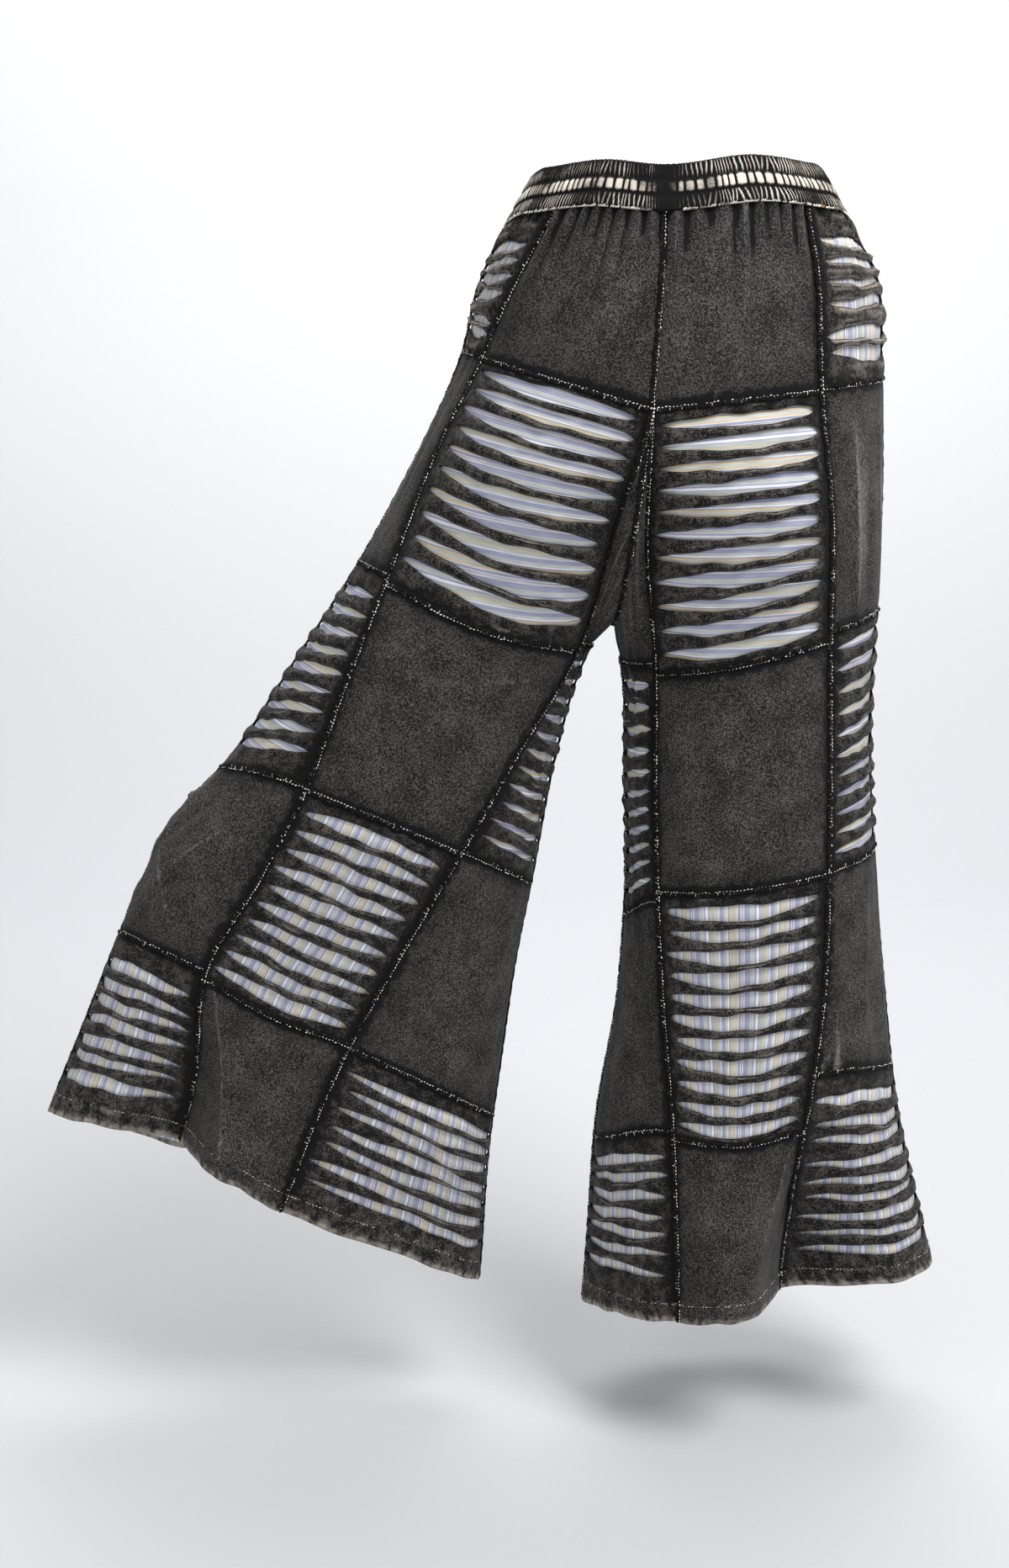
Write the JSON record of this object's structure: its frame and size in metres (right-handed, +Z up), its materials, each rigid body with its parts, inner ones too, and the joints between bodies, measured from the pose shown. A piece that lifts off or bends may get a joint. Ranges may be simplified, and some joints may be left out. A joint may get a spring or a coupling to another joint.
{
  "type": "palazzo pants",
  "caption": "Patchwork palazzo pants, worn: two flared legs of plain and slashed patches over striped lining, below a shirred elastic waistband.",
  "frame": {"origin": "centre of the waist opening, at half the waistband's height, where the wearer's waist holds the garment", "axes": "+Z up, +X to the wearer's right, +Y to the wearer's front"},
  "size_m": [0.8245, 0.2347, 1.0356],
  "materials": {
    "plain": "acid-washed black cotton jersey",
    "slashed": "washed black cotton jersey with raw cut edges",
    "lining": "thin cotton with woven stripes",
    "waistband": "shirred washed black cotton over elastic"
  },
  "bodies": {
    "root": {"left_back_calf_lining": "lining", "left_back_calf_slashed": "slashed", "left_back_hem_plain": "plain", "left_back_hip_plain": "plain", "left_back_knee_plain": "plain", "left_back_thigh_lining": "lining", "left_back_thigh_slashed": "slashed", "left_front_calf_lining": "lining", "left_front_calf_slashed": "slashed", "left_front_hem_plain": "plain", "left_front_hip_plain": "plain", "left_front_knee_plain": "plain", "left_front_thigh_lining": "lining", "left_front_thigh_slashed": "slashed", "left_inseam_calf_plain": "plain", "left_inseam_hem_lining": "lining", "left_inseam_hem_slashed": "slashed", "left_inseam_knee_lining": "lining", "left_inseam_knee_slashed": "slashed", "left_inseam_thigh_plain": "plain", "left_side_calf_plain": "plain", "left_side_hem_lining": "lining", "left_side_hem_slashed": "slashed", "left_side_hip_lining": "lining", "left_side_hip_slashed": "slashed", "left_side_knee_lining": "lining", "left_side_knee_slashed": "slashed", "left_side_thigh_plain": "plain", "right_back_calf_lining": "lining", "right_back_calf_slashed": "slashed", "right_back_hem_plain": "plain", "right_back_hip_plain": "plain", "right_back_knee_plain": "plain", "right_back_thigh_lining": "lining", "right_back_thigh_slashed": "slashed", "right_front_calf_lining": "lining", "right_front_calf_slashed": "slashed", "right_front_hem_plain": "plain", "right_front_hip_plain": "plain", "right_front_knee_plain": "plain", "right_front_thigh_lining": "lining", "right_front_thigh_slashed": "slashed", "right_inseam_calf_plain": "plain", "right_inseam_hem_lining": "lining", "right_inseam_hem_slashed": "slashed", "right_inseam_knee_lining": "lining", "right_inseam_knee_slashed": "slashed", "right_inseam_thigh_plain": "plain", "right_side_calf_plain": "plain", "right_side_hem_lining": "lining", "right_side_hem_slashed": "slashed", "right_side_hip_lining": "lining", "right_side_hip_slashed": "slashed", "right_side_knee_lining": "lining", "right_side_knee_slashed": "slashed", "right_side_thigh_plain": "plain", "waistband": "waistband"}
  },
  "joints": []
}
